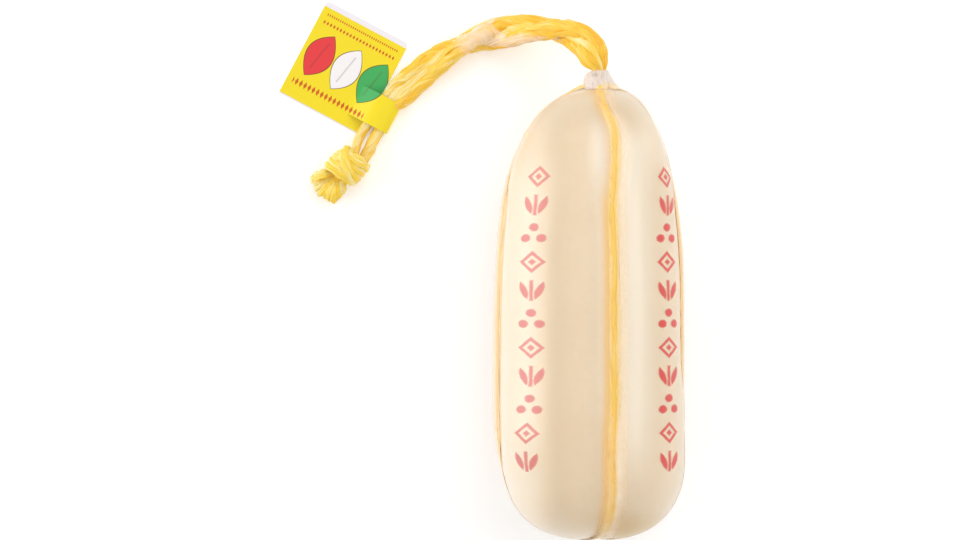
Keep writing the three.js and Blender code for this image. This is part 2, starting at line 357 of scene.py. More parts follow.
rope_line = smooth_line(ROPE_ROUTE, 120)
rope_reach = distance_along(rope_line)
rope_angle = 2 * math.pi * np.minimum(rope_reach - SIDE_BY_SIDE_AT, 0) / ROPE_TURN
rope_fullness = 0.2 + 0.8 * ease(-1, 13, rope_reach)
lying_height = 3.5 + STRAND_OFFSET * 0.8 * np.sqrt(np.sin(rope_angle) ** 2 + 0.02)
on_table = ease(52, 84, rope_reach)
rope_line[:, 2] = rope_line[:, 2] * (1 - on_table) + lying_height * on_table
rope_side, rope_up = square_to(rope_line, UP)


def strand_centre(which):
    """The middle of one of the rope's two strands, from the neck to the knot."""
    angle = (rope_angle + which * math.pi)[:, None]
    offset = (STRAND_OFFSET * rope_fullness)[:, None]
    twisted = rope_line + offset * (np.cos(angle) * rope_side + 0.8 * np.sin(angle) * rope_up)
    leg = LEFT_LEG_ROUTE if which == 0 else RIGHT_LEG_ROUTE
    return smooth_line(np.vstack([twisted[:-3:4], leg]), 230)


rope = Raffia(seed=7)
for which in (0, 1):
    centre = strand_centre(which)
    reach, side, up = course(centre)
    in_band = ease(rope_reach[-1] + 1, rope_reach[-1] + 9, reach)
    fullness = np.interp(reach, rope_reach, rope_fullness)
    fullness = fullness * (1 - (0.36 if which == 0 else 0.22) * in_band)
    stacked = np.interp(reach, rope_reach, np.sin(rope_angle) ** 2)
    for number in range(8):
        ring = 0 if number == 7 else RIBBON_OFFSET
        angle = 2 * math.pi * number / 7 - 2 * math.pi * reach / 96 + 0.5 * rope.sway(reach, 60)
        spread = ring * fullness * (1 + 0.12 * rope.sway(reach, 25))
        line = centre + (spread * (1 + 0.45 * stacked) * np.cos(angle))[:, None] * side
        line = line + (spread * (1 - 0.15 * stacked) * np.sin(angle))[:, None] * up
        half_width = 2.35 * fullness * (1 + 0.14 * rope.sway(reach, 31))
        half_depth = (2.2 if ring == 0 else 1.2) * fullness * (1 + 0.12 * rope.sway(reach, 23))
        tone = rope.random.choice([0.3, 0.4, 0.5, 0.6, 0.78]) - 0.2 * (1 - ease(50, 110, reach))
        # The legs' ribbons are paler, the left leg more: partly their own paler tone, partly
        # painted light that lifts the shade they lie in by the table.
        tone = tone + (0.42 if which == 0 else 0.22) * in_band
        rope.ribbon(line, side, up, half_width, half_depth, angle + math.pi / 2, tone)

leg_middle = (np.array(LEFT_LEG_ROUTE) + np.array(RIGHT_LEG_ROUTE)) / 2
rope_path = smooth_line(np.vstack([rope_line[:-2:4], leg_middle]), 60)

# A paler ribbon shows between the two strands, and ends inside the tag's band.
between = smooth_line(np.vstack([rope_line[:-2:4], leg_middle[:2]]), 130)
reach, side, up = course(between)
fullness = np.interp(reach, rope_reach, rope_fullness)
for height in (-1.6, 1.6):
    filler = between + (height * fullness)[:, None] * up
    filler = filler + 0.5 * rope.sway(reach, 30)[:, None] * side
    rope.ribbon(filler, side, up, 3.0 * fullness, 1.5, 0.0, 0.85)

hanging_rope = rope.make("hanging_rope_raffia")
hanging_rope.data.materials.append(RAFFIA)
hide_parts("hanging_rope", "left_leg", "right_leg")
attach(hanging_rope, "root")

# ---- Knot and cut ends ---------------------------------------------------------------
# Both legs are wound round themselves into one fat knot. The ends are cut short behind
# it and fan out, each ribbon with a blunt, slightly frayed tip.

KNOT_CENTRE = np.array([-116.2, 66.8, 8.2])
KNOT_HEADING = math.radians(48)
KNOT_AXIS = np.array([math.cos(KNOT_HEADING), math.sin(KNOT_HEADING), 0.0])
KNOT_ACROSS = np.array([-math.sin(KNOT_HEADING), math.cos(KNOT_HEADING), 0.0])
KNOT_TURNS = 3.4
KNOT_REACH = 4.9
WRAP_START = 0.4
WRAP_LEAN = 1.5


def wound_line(offset, radius_across, radius_up):
    """A line wound round the rope's axis as a leaning helix."""
    angle = WRAP_START + np.linspace(0, 2 * math.pi * KNOT_TURNS, int(56 * KNOT_TURNS))
    forward = np.linspace(KNOT_REACH, -KNOT_REACH, len(angle)) + offset
    forward = forward - WRAP_LEAN * np.cos(angle)
    line = KNOT_CENTRE + forward[:, None] * KNOT_AXIS
    line = line + (radius_across * np.cos(angle))[:, None] * KNOT_ACROSS
    return line + (radius_up * np.sin(angle))[:, None] * UP


knot = Raffia(seed=21)
WRAPS = [(-1.5, 0.2, 0.8), (-0.4, 0.9, 0.6), (0.7, 0.3, 1.1), (1.6, 0.0, 0.85)]
for offset, lift, tone in WRAPS:
    line = wound_line(offset, 7.6 + 0.7 * lift, 5.7 + lift)
    reach = distance_along(line)
    wander = knot.sway(reach, 17)
    line = line + 0.35 * wander[:, None] * KNOT_AXIS
    outward = line - KNOT_CENTRE
    outward = unit(outward - (outward @ KNOT_AXIS)[:, None] * KNOT_AXIS)
    side, up = square_to(line, outward)
    knot.ribbon(line, side, up, 1.35 + 0.2 * wander, 1.0, 0.3 * knot.sway(reach, 22), tone)

# One leg crosses over the wraps before it is tucked in.
for offset, tone in ((-1.2, 0.85), (1.2, 0.6)):
    crossing = []
    for forward, across, height in ((6.0, 6.5, 0.5), (4.4, 5.8, 5.0), (1.6, 3.2, 7.1),
                                    (-1.4, -2.6, 7.0), (-3.0, -7.2, 4.2), (-2.6, -8.6, -0.6)):
        place = KNOT_CENTRE + (forward + offset) * KNOT_AXIS + across * KNOT_ACROSS
        crossing.append(place + height * UP)
    line = smooth_line(crossing, 60)
    reach, side, up = course(line, unit(line - KNOT_CENTRE))
    knot.ribbon(line, side, up, 1.5 + 0.2 * knot.sway(reach, 12), 0.8, 0.2, tone)

# The rope's own ribbons run through the middle of the wraps.
for across, height, tone in ((-3.4, 0.2, 0.5), (0.0, 1.6, 0.6), (3.4, 0.0, 0.8), (0.0, -2.2, 0.6)):
    start = KNOT_CENTRE + 8.2 * KNOT_AXIS + across * KNOT_ACROSS + height * UP
    line = smooth_line([start, start - 8 * KNOT_AXIS, start - 16 * KNOT_AXIS], 24)
    side, up = square_to(line, UP)
    knot.ribbon(line, side, up, 2.6, 1.9, 0.0, tone)

knot_wraps = knot.make("knot_wraps")
# The knot and the cut ends get a lighter copy of the raffia: painted light that lifts the shade
# they lie in near the table.
KNOT_RAFFIA_PAINTED_LIGHT = raffia_finish("knot_raffia_painted_light", tint(254, 202, 44), tint(255, 212, 60),
                            tint(255, 221, 92), tint(255, 238, 172))
knot_wraps.data.materials.append(KNOT_RAFFIA_PAINTED_LIGHT)
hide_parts("knot")
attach(knot_wraps, "root")

TUFT_ROOT = np.array([-120.2, 63.2, 6.9])
TUFT_HEADING = 228.0
TUFT_REACH = [(-48, 8.0), (-36, 14.4), (-20, 13.4), (-3, 15.6), (12, 14.0), (26, 15.0), (42, 9.5),
              (56, 6.5)]

tuft = Raffia(seed=33)
for number in range(34):
    turn = -46 + 98 * (number * 0.618 % 1)
    lift = (-14, 26, 4, -4, 15)[number % 5]
    length = np.interp(turn, *zip(*TUFT_REACH)) * tuft.random.uniform(0.88, 1.0)
    heading = math.radians(TUFT_HEADING + turn)
    rise = math.radians(lift)
    ahead = np.array([math.cos(heading), math.sin(heading), 0.0])
    root = TUFT_ROOT + 2.6 * math.sin(math.radians(turn)) * KNOT_ACROSS * -1
    middle = root + ahead * length * 0.55 + UP * length * 0.55 * math.sin(rise)
    tip = root + ahead * length + UP * length * 0.6 * math.sin(rise) - UP * 1.2
    tip[2] = max(tip[2], 1.5)
    line = smooth_line([root - ahead * 2.0, root, middle, tip], 26)
    reach, side, up = course(line)
    half_width = 1.1 + 0.5 * ease(1, 9, reach) + 0.15 * tuft.sway(reach, 9)
    half_width[-4:] *= [0.95, 0.9, 0.84, 0.76]
    twist = 0.5 * tuft.sway(reach, 16) + math.radians(turn)
    tone = tuft.random.choice([0.45, 0.55, 0.7, 0.9])
    tuft.ribbon(line, side, up, half_width, 0.85 + 0.1 * tuft.sway(reach, 7), twist, tone)

cut_ends = tuft.make("cut_ends")
cut_ends.data.materials.append(KNOT_RAFFIA_PAINTED_LIGHT)
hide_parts("tuft")
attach(cut_ends, "root")

# ---- Film tail -----------------------------------------------------------------------
# The tube of film goes on past the neck as a crumpled, milky tail, which is twisted up
# with the rope: below it near the neck, then over it, and out along its upper side.

TAIL_EDGES = [
    # reach along the rope, then the angles where the tail starts and stops round it
    [(28, 140, 196), (34, 122, 204), (42, 116, 206), (50, 112, 206), (54, 96, 206),
     (57, 112, 206), (62, 106, 205), (66, 84, 203), (70, 44, 198), (74, 6, 192),
     (79, -22, 186), (85, -34, 182), (90, -36, 176), (92.5, -34, 130), (95, -30, 60),
     (97, -26, 10)],
    [(58, -12, 2), (62, -26, 22), (67, -33, 42), (72, -34, 60), (78, -30, 54), (84, -24, 40)],
]
TAIL_ACROSS = 30


def milky_film_finish(name, alpha, warm, cool, relief):
    """Clear film gone milky in long wrinkles; it thins out where cover is 0."""
    finish = Finish(name, Roughness=0.3, Specular_IOR_Level=0.5)
    across, along = finish.attribute("across"), finish.attribute("along")
    wrinkle = finish.noise(finish.join(across * 0.55, along * 0.09), 1.0)
    cloud = finish.noise(finish.object_place(), 160.0, 4.0)
    colour = finish.mix((wrinkle * 0.5 + cloud * 0.5).between(0.3, 0.7), warm, cool)
    cover = (finish.attribute("cover") * (wrinkle * 3.0 - 0.45)).between(0.04, 0.85)
    finish.shows(Base_Color=colour, Alpha=(wrinkle.between(0.3, 0.7) * 0.25 + alpha) * cover)
    finish.bump(wrinkle, 0.3, relief)
    return finish


def give_point_values(piece, **values):
    """Numbers for the piece's finish, one for each of its vertices."""
    for name, numbers in values.items():
        layer = piece.data.attributes.new(name, "FLOAT", "POINT")
        layer.data.foreach_set("value", np.ravel(numbers).astype(float))


TAIL_FILM = milky_film_finish("milky_film_tail", 0.45, tint(255, 228, 174),
                              tint(253, 238, 214), 0.0001).material

tail = Raffia(seed=5)
tail_shells, tail_across, tail_along, tail_cover = [], [], [], []
for number, edges in enumerate(TAIL_EDGES):
    table = np.array(edges, float)
    stations = np.linspace(table[0, 0], table[-1, 0], 90)
    start = np.radians(np.interp(stations, table[:, 0], table[:, 1]))
    stop = np.radians(np.interp(stations, table[:, 0], table[:, 2]))
    ragged = 0.12 * tail.sway(stations, 21)
    middle = np.column_stack([np.interp(stations, rope_reach, rope_line[:, k]) for k in range(3)])
    side, up = square_to(middle, UP)
    fullness = np.interp(stations, rope_reach, rope_fullness)
    share = np.linspace(0, 1, TAIL_ACROSS)[None, :]
    angle = (start - ragged)[:, None] * (1 - share) + (stop + ragged)[:, None] * share
    strand = np.interp(stations, rope_reach, rope_angle)[:, None]
    wide = 3.4 + STRAND_OFFSET * np.abs(np.cos(angle - strand)) ** 1.4
    crumple = 0.0
    for wave, lean in ((9.0, 1.3), (5.5, -2.1), (3.6, 2.9)):
        phase = tail.random.uniform(0, 6)
        crumple = crumple + 0.1 * np.sin(stations[:, None] * 2 * math.pi / (wave * 3)
                                          + angle * wave + lean * share + phase)
    lift = 0.4 + 0.4 * number + crumple
    radius = np.maximum(wide * fullness[:, None] + lift, 1.2)
    shell = middle[:, None] + (radius * np.cos(angle))[..., None] * side[:, None]
    shell = shell + (radius * np.sin(angle))[..., None] * up[:, None]
    shell[..., 2] = np.maximum(shell[..., 2], 0.4)
    tail_shells.append(shell)
    from_end = np.minimum(stations - stations[0], stations[-1] - stations)[:, None]
    tail_cover.append(ease(0, 15, from_end) * ease(0, 0.9, share * (1 - share) * 4))
    tail_across.append(radius * angle)
    tail_along.append(np.broadcast_to(stations[:, None], radius.shape) + 50 * number)


def shell_piece(name, shells):
    """Open patches of points as one piece."""
    places, faces = [], []
    for shell in shells:
        first = sum(len(rows) for rows in places)
        rows, columns = shell.shape[:2]
        places.append(shell.reshape(-1, 3))
        corner = np.arange(rows * columns).reshape(rows, columns) + first
        quads = np.stack([corner[:-1, :-1], corner[1:, :-1], corner[1:, 1:], corner[:-1, 1:]], -1)
        faces += quads.reshape(-1, 4).tolist()
    mesh = bpy.data.meshes.new(name)
    mesh.from_pydata((np.vstack(places) * MILLIMETRE).tolist(), [], faces)
    return place_mesh(name, mesh)


def give_thickness(piece, thickness, offset):
    wall = piece.modifiers.new("wall", "SOLIDIFY")
    wall.thickness = thickness * MILLIMETRE
    wall.offset = offset
    bpy.context.view_layer.objects.active = piece
    bpy.ops.object.modifier_apply(modifier=wall.name)


film_tail = shell_piece("film_tail", tail_shells)
give_point_values(film_tail, across=np.vstack(tail_across), along=np.vstack(tail_along),
                  cover=np.vstack(tail_cover))
give_thickness(film_tail, 0.1, 0)
film_tail.data.materials.append(TAIL_FILM)
film_tail.visible_shadow = False
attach(film_tail, "root")

# ---- Tag -----------------------------------------------------------------------------
# A coated card folded in two. Two slits in its front leaf free a band, which arches over
# the legs, folds round beside them and is tucked back under, so that it holds the tag.

TAG_CENTRE = (-118.1, 115.2, 0.3)
TAG_TURN = math.radians(-28)
TAG_HALF_WIDTH = 22.5
TAG_HALF_HEIGHT = 25.0
MARGIN = 2.7
BAND_TOP, BAND_BOTTOM, BAND_ROOT = -3.2, -19.0, 10.0
CARD = 0.32
BAND_SECTION = [
    (10.0, 0.52), (12.6, 1.0), (15.4, 2.5), (18.6, 4.85), (22.2, 6.75), (26.0, 7.36),
    (29.9, 7.18), (32.2, 6.4), (33.35, 4.9), (33.5, 2.85), (32.7, 1.25), (31.0, 0.52),
    (27.0, 0.5), (23.0, 0.5), (17.5, 0.5),
]


def leaf(name, low, high, height):
    """A flat leaf of card, from the low to the high corner, at that height."""
    bpy.ops.mesh.primitive_plane_add(size=1)
    card = bpy.context.object
    card.name = name
    card.scale = (high[0] - low[0], high[1] - low[1], 1)
    card.location = ((low[0] + high[0]) / 2, (low[1] + high[1]) / 2, height)
    bpy.ops.object.transform_apply(location=True, rotation=False, scale=True)
    return card


def choose(piece, kind, elements, test):
    """Leaves the piece in edit mode, with only the elements that pass the test selected."""
    bpy.ops.object.mode_set(mode="EDIT")
    bpy.ops.mesh.select_mode(type=kind)
    bpy.ops.mesh.select_all(action="DESELECT")
    bpy.ops.object.mode_set(mode="OBJECT")
    for element in getattr(piece.data, elements):
        element.select = bool(test(element))
    bpy.ops.object.mode_set(mode="EDIT")


back_leaf = leaf("back_leaf", (-TAG_HALF_WIDTH, -TAG_HALF_HEIGHT - 0.7),
                 (TAG_HALF_WIDTH, TAG_HALF_HEIGHT), 0.16)
choose(back_leaf, "VERT", "vertices", lambda vertex: vertex.co.y > 0)
bpy.ops.mesh.bevel(offset=2.0, segments=6, affect="VERTICES")
bpy.ops.object.mode_set(mode="OBJECT")
give_thickness(back_leaf, CARD / MILLIMETRE, 0)

front_leaf = leaf("front_leaf", (-TAG_HALF_WIDTH, -TAG_HALF_HEIGHT),
                  (TAG_HALF_WIDTH, TAG_HALF_HEIGHT - MARGIN), 0.52)
bpy.ops.object.mode_set(mode="EDIT")
for place, direction in (((0, BAND_TOP, 0), (0, 1, 0)), ((0, BAND_BOTTOM, 0), (0, 1, 0)),
                         ((BAND_ROOT, 0, 0), (1, 0, 0))):
    bpy.ops.mesh.select_all(action="SELECT")
    bpy.ops.mesh.bisect(plane_co=place, plane_no=direction)
choose(front_leaf, "FACE", "polygons",
       lambda face: face.center.x > BAND_ROOT and BAND_BOTTOM < face.center.y < BAND_TOP)
bpy.ops.mesh.delete(type="FACE")
bpy.ops.object.mode_set(mode="OBJECT")
give_thickness(front_leaf, CARD / MILLIMETRE, 0)

section = smooth_line([(x, 0, z) for x, z in BAND_SECTION], 90)
rows = np.linspace(BAND_BOTTOM, BAND_TOP, 12)
band_shell = np.stack([section + np.array([0, row, 0]) for row in rows], axis=1)
band = shell_piece("band", [band_shell / MILLIMETRE])
give_thickness(band, CARD / MILLIMETRE, 0)

bpy.ops.object.select_all(action="DESELECT")
for part in (front_leaf, band, back_leaf):
    part.select_set(True)
bpy.context.view_layer.objects.active = back_leaf
bpy.ops.object.join()
tag = back_leaf
tag.name = "folded_tag"

# The printed side is the outer one: the front leaf's face and the band's outer face.
printed = tag.data.attributes.new("printed", "FLOAT", "FACE")
band_middle = np.array([26.0, 3.9])
for number, face in enumerate(tag.data.polygons):
    x, y, z = face.center
    facing_up = face.normal.z > 0.5 and z > 0.6
    in_band = BAND_BOTTOM - 0.1 < y < BAND_TOP + 0.1 and abs(face.normal.y) < 0.5
    outwards = face.normal.x * (x - band_middle[0]) + face.normal.z * (z - band_middle[1])
    leaf_face = facing_up and (x < BAND_ROOT or not in_band)
    over_legs = face.normal.z > 0.3 and x < band_middle[0] and z > 0.6
    band_face = in_band and x > BAND_ROOT and (over_legs or (x > 22.6 and outwards > 0))
    printed.data[number].value = float(leaf_face or band_face)

tag.scale = (MILLIMETRE,) * 3
tag.rotation_euler = (0, 0, TAG_TURN)
tag.location = [value * MILLIMETRE for value in TAG_CENTRE]
bpy.ops.object.transform_apply(location=True, rotation=True, scale=True)
bpy.ops.object.shade_smooth_by_angle(angle=math.radians(30))

YELLOW = tint(243, 219, 36)
RED = tint(228, 62, 66)
WHITE = tint(244, 240, 242)
GREEN = tint(66, 172, 92)
OCHRE = tint(206, 98, 30)
OUTLINE = tint(92, 60, 40)
PAPER = tint(240, 236, 242)


def tag_finish():
    """Coated card: three plain leaves over rows of small lozenges, printed on yellow."""
    finish = Finish("printed_card", Specular_IOR_Level=0.35)
    centre = [value * MILLIMETRE for value in TAG_CENTRE]
    mapping = finish.node("Mapping", {"vector_type": "TEXTURE"},
                          {"Vector": finish.object_place(), "Location": centre,
                           "Rotation": (0, 0, TAG_TURN), "Scale": (MILLIMETRE,) * 3})
    x, y, _ = finish.split(mapping)
    colour = finish.node("RGB")
    colour.socket.default_value = YELLOW
    for middle, paint in ((-13.2, RED), (1.4, WHITE), (16.0, GREEN)):
        along = y + 0.6 + (x - middle) * 0.3
        across = x - middle - y * 0.2
        inside = 7.3 - along * along * 0.046 - abs(across)
        vein = (0.4 - abs(across)).between(-0.1, 0.1) * (8.0 - abs(along)).between(-0.2, 0.2)
        colour = finish.lay_over(colour, (inside.between(-0.1, 0.15), OUTLINE),
                                 (inside.between(0.3, 0.55), paint), (vein * 0.3, OUTLINE))
    for row, pitch, half_width, half_height in ((19.2, 2.3, 0.8, 0.8), (15.2, 3.6, 1.25, 1.1),
                                                (-16.8, 4.6, 1.75, 2.0)):
        cell = abs(x.maths("PINGPONG", pitch / 2) - pitch / 4) * 2.0
        lozenge = 1.0 - cell / half_width - abs(y - row) / half_height
        ends = (19.5 - abs(x)).between(-0.1, 0.1)
        colour = finish.mix(lozenge.between(-0.1, 0.12) * ends, colour, OCHRE)
    printed = finish.attribute("printed")
    grain = finish.noise(finish.object_place(), 900.0, 2.0)
    colour = finish.mix(printed, PAPER, colour)
    finish.shows(Base_Color=colour, Roughness=grain * 0.12 + 0.32)
    finish.bump(grain, 0.12, 0.0001)
    return finish.material


tag.data.materials.clear()
tag.data.materials.append(tag_finish())
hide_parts("tag")
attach(tag, "root")

# ---- Cheese --------------------------------------------------------------------------
# A cast bar of pale young curd: a blunt foot, a long barrel and shoulders that close on
# the neck. The twine pulls four soft valleys into it, and it rests on two of its lobes.

CREST_RADIUS = 45.8
AXIS_HEIGHT = 43.6
FOOT_Y, NECK_Y = -111.9, 102.4
VALLEY_HALF_WIDTH = 15.0
VALLEY_POWER = 2.2
BELOW_CORD = np.array([2.3, 0.8, 2.3, 0.8])
TWINE_RADIUS, CHANNEL_RADIUS = 2.9, 3.05
NECK_SINK = 0.2
FILM_GAP = 0.16
TURNS = np.radians([-178.5, -76, 14, 78])
NECK_DRIFTS = np.radians([0, -13, -7, 11])
NECK_STARTS, NECK_ENDS = np.array([84, 40, 84, 40]), np.array([101, 75, 101, 75])
FOOT_DRIFTS = np.radians([0, -21, -2.6, 15])
FOOT_STARTS, FOOT_BEND = np.array([45, 56, 45, 22]), 38
UPPER_BENDS = np.array([0, 0, 0.08, 0])
SHOULDER_BENDS = np.array([0, 0.075, 0, -0.075])
SINKS = np.array([2.5, 1.4, 1.4, 1.4])
BACK, LEFT, FRONT, RIGHT = range(4)


def narrowing(y, begins, pole, power, root):
    """Each end narrows along a superellipse: 1 where it begins, 0 at its pole."""
    part = np.clip((y - begins) / (pole - begins), 0, 1)
    return (1 - part**power) ** (1 / root)


def crest_radius(y):
    return CREST_RADIUS * narrowing(y, -40, 103.2, 3.6, 2.4) * narrowing(y, -20, FOOT_Y, 5, 2.5)


def axis_x(y):
    near_foot = ease(56, 90, -y)
    return 5 * np.maximum(0, y / NECK_Y) ** 6 + 2.4 * near_foot


def sink_along(run, y):
    """How far a run's outer side lies below the crests."""
    near_neck = ease(NECK_Y - 42, NECK_Y, y)
    return SINKS[run] * (1 - near_neck) + NECK_SINK * near_neck


outline_y = FOOT_Y + (1 - np.cos(np.linspace(0, math.pi, 1500))) / 2 * (NECK_Y - FOOT_Y)
outline = np.column_stack([crest_radius(outline_y), outline_y, 0 * outline_y])
outline_reach = distance_along(outline)


def on_outline(share):
    """Radius, y and the outward direction of the crests, at that share of their length."""
    reach = np.asarray(share) * outline_reach[-1]
    radius = np.interp(reach, outline_reach, outline[:, 0])
    y = np.interp(reach, outline_reach, outline[:, 1])
    step = 1.2
    ahead, behind = reach + step, reach - step
    rise = (np.interp(ahead, outline_reach, outline[:, 1])
            - np.interp(behind, outline_reach, outline[:, 1]))
    widen = (np.interp(ahead, outline_reach, outline[:, 0])
             - np.interp(behind, outline_reach, outline[:, 0]))
    size = np.hypot(rise, widen)
    return radius, y, rise / size, -widen / size


def round_axis(radius, y, turn):
    """Points at that radius from the cheese's axis; turn 0 is straight up."""
    return np.stack([axis_x(y) + radius * np.sin(turn), y + 0 * turn,
                     AXIS_HEIGHT + radius * np.cos(turn)], axis=-1)


def swell(y, turn):
    """The lobes are not quite even."""
    return 0.25 * np.sin(y / 23 + 2 * turn) * np.sin(3 * turn + y / 41)


def run_turn(run, y):
    """Where a run lies round the axis; it drifts a little towards the neck and the foot."""
    near_neck = ease(NECK_STARTS[run], NECK_ENDS[run], y)
    near_foot = ease(FOOT_STARTS[run], FOOT_STARTS[run] + FOOT_BEND, -y)
    bend = UPPER_BENDS[run] * ease(45, 78, y) * ease(95, 82, y)
    bend = bend + SHOULDER_BENDS[run] * ease(80, 94, y)
    return TURNS[run] + NECK_DRIFTS[run] * near_neck + FOOT_DRIFTS[run] * near_foot + bend


def turn_from(turn, run, y):
    return (turn - run_turn(run, y) + math.pi) % (2 * math.pi) - math.pi


def nearness(radius, turn, run, y):
    """1 on a run of twine, falling to 0 at the edge of its valley."""
    away = np.minimum(np.abs(turn_from(turn, run, y)), math.pi / 2)
    return np.maximum(0, 1 - radius * np.sin(away) / VALLEY_HALF_WIDTH) ** VALLEY_POWER


def close_to_twine(share):
    """Turns round the axis, laid closer together near each run of twine."""
    runs = np.append(TURNS, TURNS[0] + 2 * math.pi)
    lobe = np.minimum((share * 4).astype(int), 3)
    part = share * 4 - lobe
    part = part - 0.78 * np.sin(2 * math.pi * part) / (2 * math.pi)
    return runs[lobe] + part * (runs[lobe + 1] - runs[lobe])


def lobed_piece(name, segments, rings, shape):
    """A sphere whose vertices are moved to where shape(share, turn) puts them."""
    bpy.ops.mesh.primitive_uv_sphere_add(segments=segments, ring_count=rings, radius=1)
    piece = bpy.context.object
    piece.name = piece.data.name = name
    places = np.empty(len(piece.data.vertices) * 3)
    piece.data.vertices.foreach_get("co", places)
    places = places.reshape(-1, 3)
    share = 1 - np.round(np.arccos(np.clip(places[:, 2], -1, 1)) / math.pi * rings) / rings
    longitude = np.arctan2(places[:, 1], places[:, 0]) / (2 * math.pi) % 1
    column = np.round(longitude * segments) % segments
    moved, extra = shape(share, close_to_twine(column / segments))
    piece.data.vertices.foreach_set("co", (moved * MILLIMETRE).ravel())
    give_point_values(piece, **extra)
    smooth_outwards()
    return piece


def twine_bounce_light(radius, turn, y):
    """Painted yellow bounce light from the twine on the curd beside it, which stands for shade too:
    on the front run's left, its shaded side, over the right of the foot, and on both sides of the
    other runs.
    """
    painted_bounce = 0.9 * ease(0.18, 0.62, nearness(radius, turn, FRONT, y))
    painted_bounce = painted_bounce * (1 - 0.8 * ease(42, 62, y) * ease(94, 82, y))
    painted_bounce = painted_bounce * (1 - 0.85 * ease(0, 0.05, turn_from(turn, FRONT, y)))
    painted_bounce = np.maximum(painted_bounce, 0.55 * ease(96, 110, -y) * ease(-0.2, 0.5, turn) * ease(1.8, 1.2, turn))
    for run, strength in ((LEFT, 0.6), (RIGHT, 0.85), (BACK, 0.6)):
        beside = 1 - ease(2, 8, radius * np.abs(turn_from(turn, run, y)))
        painted_bounce = np.maximum(painted_bounce, strength * beside)
    return painted_bounce


def painted_curd_light(radius, turn, y):
    """Painted light on the curd: on the lobe right of the front run, a painted sheen far left, and
    a painted highlight by its top.

    Below 0 it is painted shade, as in the band between the far left and the front."""
    right = radius * turn_from(turn, FRONT, y)
    left = radius * turn_from(turn, LEFT, y)
    # Painted light right of the front run, then a painted sheen far left.
    pale = ease(0.3, 3, right) * ease(26, 10, right) * ease(100, 45, -y) * ease(90, 72, y)
    painted_left_rim_sheen = ease(2, 6, left) * ease(-15, -33, radius * np.sin(turn)) * ease(1.6, 1.3, -turn)
    pale = pale + 0.7 * painted_left_rim_sheen * ease(112, 84, -y) * ease(88, 46, y)
    # Painted shade in a band between the far left and the front, then a painted highlight by the
    # top.
    pale = pale - 0.4 * np.exp(-((radius * np.sin(turn) + 18.5) / 7) ** 2)
    painted_highlight = np.exp(-((right + 7.5) / 5) ** 2 - ((y - 70) / 14) ** 2)
    return np.minimum(pale + 0.9 * painted_highlight, 1)


def curd_shape(share, turn):
    """The body of curd, its valleys, and its flat places on the table."""
    radius, y, out, forward = on_outline(np.minimum(share / 0.985, 1))
    depth = np.zeros_like(radius)
    for run in (BACK, LEFT, FRONT, RIGHT):
        near = nearness(radius, turn, run, y)
        below = BELOW_CORD[run] * (1 - 0.8 * ease(NECK_Y - 25, NECK_Y, y))
        depth = np.maximum(depth, near * (sink_along(run, y) + below))
    on_neck_face = np.clip((share - 0.985) / 0.015, 0, 1)
    depth = depth * (on_neck_face == 0) + FILM_GAP
    radius = (radius + (swell(y, turn) - depth) * out) * (1 - on_neck_face)
    places = round_axis(radius, y - depth * forward, turn)
    places[:, 1] = np.minimum(places[:, 1], NECK_Y - 0.3)
    places[:, 2] = np.maximum(places[:, 2], 0.25)
    # Painted bounce light beside the twine and painted light and shade on the curd, both carried to
    # its finish.
    painted_bounce, pale = twine_bounce_light(radius, turn, y), painted_curd_light(radius, turn, y)
    return places, {"near_twine": painted_bounce, "pale": pale}


cheese = lobed_piece("curd", 320, 240, curd_shape)


def twine_run(run, foot_sink):
    """A run's middle line, from near the pole of the foot to where the neck hides it."""
    radius, y, out, forward = on_outline(np.linspace(1 / 60, 1, 60))
    away = np.where(y < -20, ease(0, 34, radius), 1.0)
    sink = foot_sink * (1 - away) + sink_along(run, y) * away + TWINE_RADIUS
    line_turn = run_turn(run, y)
    line = round_axis(radius - out * sink, y - forward * sink, line_turn)
    line[-1, 1] = NECK_Y
    tucked = round_axis(np.array([6.9, 4.6]), np.array([103.2, 104.9]), np.full(2, line_turn[-1]))
    return np.vstack([line[1::2], tucked])


def twine_loop(first, second, foot_sink):
    """Two runs and their crossing under the foot, as one length of twine."""
    crossing = round_axis(0.0, FOOT_Y + TWINE_RADIUS + foot_sink, np.zeros(1))
    runs = twine_run(first, foot_sink)[::-1], twine_run(second, foot_sink)
    return smooth_line(np.vstack([runs[0], crossing, runs[1]]), 420)


front_back_loop = twine_loop(FRONT, BACK, 6.8)
left_right_loop = twine_loop(LEFT, RIGHT, 0.6)


def outward_from_cheese(line):
    """Straight away from the cheese's axis, or from its ends near the poles."""
    inside = np.clip(line[:, 1], FOOT_Y + 46, NECK_Y - 40)
    centre = np.column_stack([axis_x(inside), inside, np.full(len(line), AXIS_HEIGHT)])
    return unit(line - centre)


# The twine lies in channels that it has pressed into the curd.
for loop in (front_back_loop, left_right_loop):
    cutter = Raffia(seed=1)
    coarse = loop[::3]
    reach, side, up = course(coarse, outward_from_cheese(coarse))
    angle = np.linspace(0, 2 * math.pi, 20, endpoint=False)[None, :, None]
    round_loop = np.cos(angle) * side[:, None] + np.sin(angle) * up[:, None]
    cutter.add_rings(coarse[:, None] + CHANNEL_RADIUS * round_loop, reach, 0.5)
    channel = cutter.make("channel")
    cut = cheese.modifiers.new("channel", "BOOLEAN")
    cut.operation = "DIFFERENCE"
    cut.solver = "EXACT"
    cut.object = channel
    bpy.context.view_layer.objects.active = cheese
    cheese.select_set(True)
    bpy.ops.object.modifier_apply(modifier=cut.name)
    bpy.data.objects.remove(channel)
choose_only(cheese)
bpy.ops.object.shade_smooth_by_angle(angle=math.radians(50))

CURD = tint(233, 212, 181)
CURD_SHADE = tint(228, 205, 172)
# Pale curd for painted highlights and sheen.
CURD_PAINTED_LIGHT = tint(243, 229, 207)
